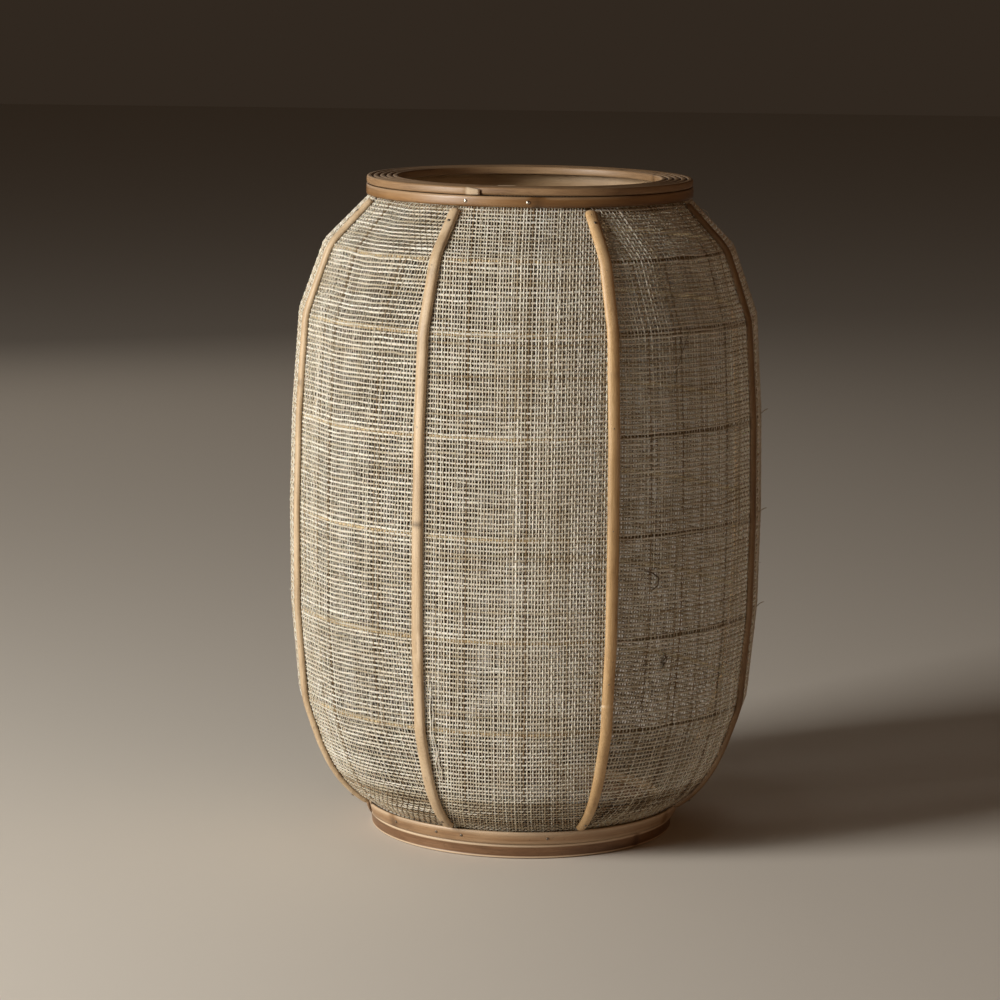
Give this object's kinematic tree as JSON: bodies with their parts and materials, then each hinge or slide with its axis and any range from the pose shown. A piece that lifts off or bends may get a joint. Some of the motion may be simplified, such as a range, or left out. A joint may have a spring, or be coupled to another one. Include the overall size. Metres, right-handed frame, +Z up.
{
  "type": "lamp shade",
  "caption": "Barrel-shaped lamp shade: open-weave cloth panels between bent cane ribs over round cane rings, with a coiled cane rim at each end.",
  "frame": {"origin": "on the shade's axis, level with the underside of the lower coil", "axes": "+Z up the axis, -Y to the front, +X to the right as seen from the front"},
  "size_m": [0.32, 0.32, 0.445],
  "materials": {
    "cane_rib": "satin, split cane",
    "cane_band": "satin, golden brown cane",
    "cane_coil": "satin cane",
    "cane_low_coil": "satin, darker cane",
    "cane_ring": "matt round cane",
    "cane_hoop": "matt flat cane",
    "open_weave_cloth": "open plain weave of slubby cream yarn",
    "plated_steel": "plated",
    "nail_steel": "dull"
  },
  "bodies": {
    "root": {"bottom_band": "cane_band", "bottom_coil": "cane_low_coil", "bottom_inner_hoop": "cane_hoop", "cloth_panel_1": "open_weave_cloth", "cloth_panel_2": "open_weave_cloth", "cloth_panel_3": "open_weave_cloth", "cloth_panel_4": "open_weave_cloth", "cloth_panel_5": "open_weave_cloth", "cloth_panel_6": "open_weave_cloth", "cloth_panel_7": "open_weave_cloth", "cloth_panel_8": "open_weave_cloth", "fitter": "plated_steel", "fitter_screw_1": "nail_steel", "fitter_screw_2": "nail_steel", "fitter_screw_3": "nail_steel", "nail_bottom_band_1": "nail_steel", "nail_bottom_band_2": "nail_steel", "nail_bottom_band_3": "nail_steel", "nail_bottom_band_4": "nail_steel", "nail_rib_low_1": "nail_steel", "nail_rib_low_2": "nail_steel", "nail_rib_low_3": "nail_steel", "nail_rib_low_4": "nail_steel", "nail_rib_low_5": "nail_steel", "nail_rib_low_6": "nail_steel", "nail_rib_low_7": "nail_steel", "nail_rib_low_8": "nail_steel", "nail_rib_top_1": "nail_steel", "nail_rib_top_2": "nail_steel", "nail_rib_top_3": "nail_steel", "nail_rib_top_4": "nail_steel", "nail_rib_top_5": "nail_steel", "nail_rib_top_6": "nail_steel", "nail_rib_top_7": "nail_steel", "nail_rib_top_8": "nail_steel", "nail_top_band_1": "nail_steel", "nail_top_band_2": "nail_steel", "rib_1": "cane_rib", "rib_2": "cane_rib", "rib_3": "cane_rib", "rib_4": "cane_rib", "rib_5": "cane_rib", "rib_6": "cane_rib", "rib_7": "cane_rib", "rib_8": "cane_rib", "ring_1": "cane_ring", "ring_2": "cane_ring", "ring_3": "cane_ring", "ring_4": "cane_ring", "ring_5": "cane_ring", "ring_6": "cane_ring", "top_band": "cane_band", "top_coil": "cane_coil", "top_inner_hoop": "cane_hoop"}
  },
  "joints": []
}
